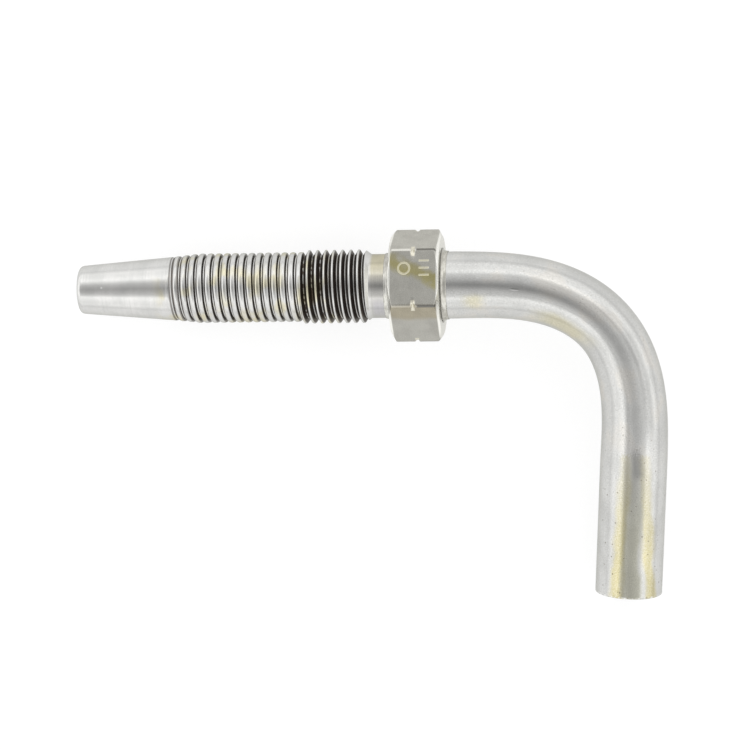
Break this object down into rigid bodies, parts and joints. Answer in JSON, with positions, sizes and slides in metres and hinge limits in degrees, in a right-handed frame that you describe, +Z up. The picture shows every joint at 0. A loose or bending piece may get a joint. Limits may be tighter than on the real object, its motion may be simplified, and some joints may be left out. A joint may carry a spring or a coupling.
{
  "type": "screw-in hose end fitting with bent tube",
  "caption": "Stainless hose end: tapered insert with a grip thread and a screw thread, a wrench hexagon and a plain tube bent just past a right angle.",
  "frame": {"origin": "centre of the bottom of the part's box, on the surface that it lies on", "axes": "+Z is up from that surface; +X runs along the insert from its nose to the hexagon, with the nose 5.16 degrees down; the tube's leg runs towards -Y and 7.38 degrees down"},
  "size_m": [0.0706, 0.0444, 0.013],
  "materials": {
    "turned_steel": "turned, bright crests with dark residue in the screw thread",
    "milled_steel": "milled flats with a pale gold heat tint",
    "drawn_steel": "drawn and lightly polished, pale straw tint along the leg",
    "braze": "smooth, bright fillet"
  },
  "bodies": {
    "root": {"hose_insert": "turned_steel", "wrench_hex": "milled_steel", "bent_tube": "drawn_steel", "front_braze_fillet": "braze", "rear_braze_fillet": "braze"}
  },
  "joints": []
}
